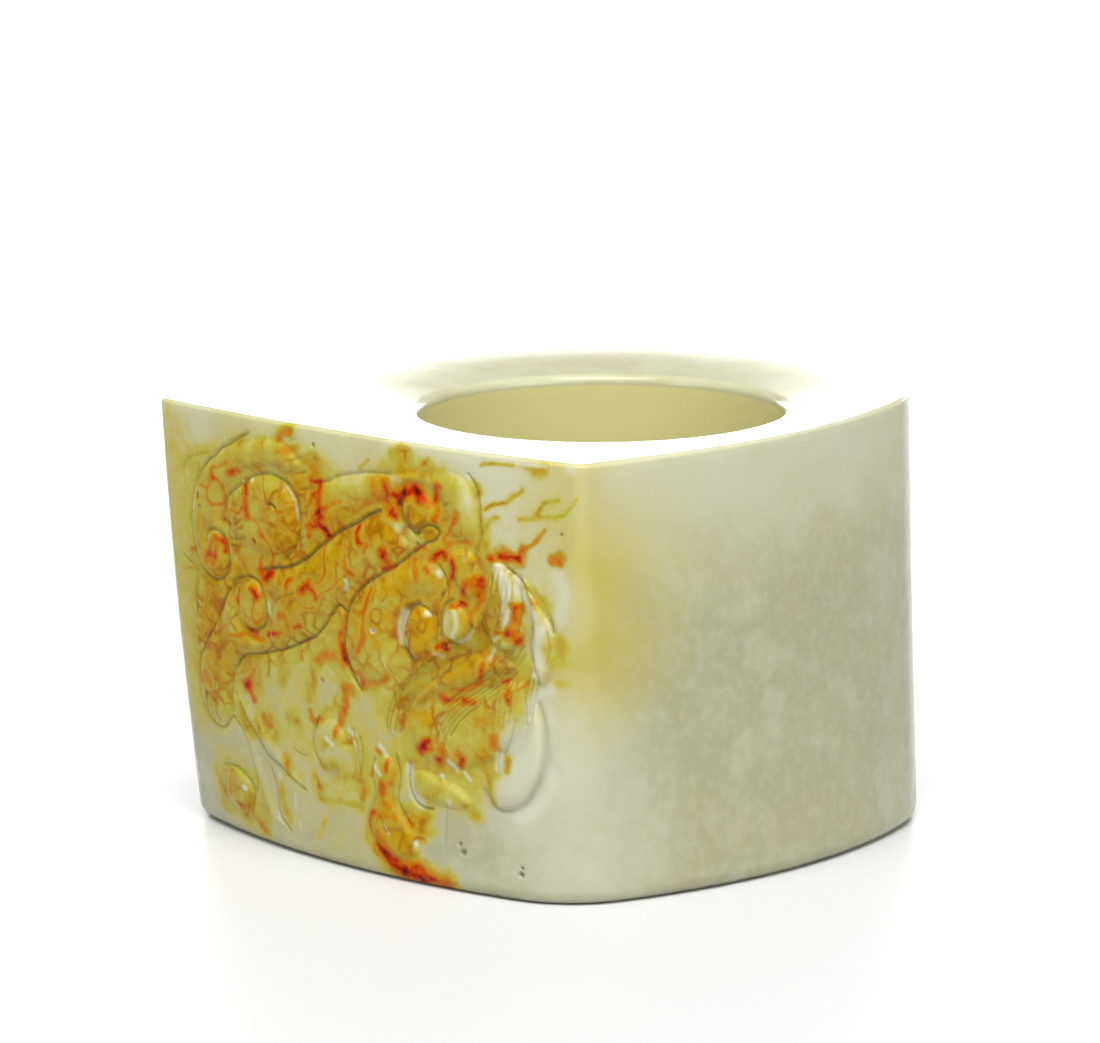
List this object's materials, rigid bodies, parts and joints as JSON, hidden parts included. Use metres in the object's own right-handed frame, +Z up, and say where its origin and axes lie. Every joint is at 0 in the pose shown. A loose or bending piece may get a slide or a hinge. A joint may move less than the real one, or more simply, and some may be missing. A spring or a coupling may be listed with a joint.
{
  "type": "archer's thumb ring",
  "caption": "Squarish stone thumb ring with a round finger hole, dipped mouth and one broad flat face carved in low relief with a coiled dragon.",
  "frame": {"origin": "on the axis of the finger hole, at the flat foot", "axes": "+Z up along the finger hole, -Y towards the carved face, +X towards the face's sharp arris"},
  "size_m": [0.0362, 0.0357, 0.0248],
  "materials": {
    "stone": "polished pale green nephrite, slightly translucent, with a russet skin on the carved face"
  },
  "bodies": {
    "root": {"thumb_ring": "stone"}
  },
  "joints": []
}
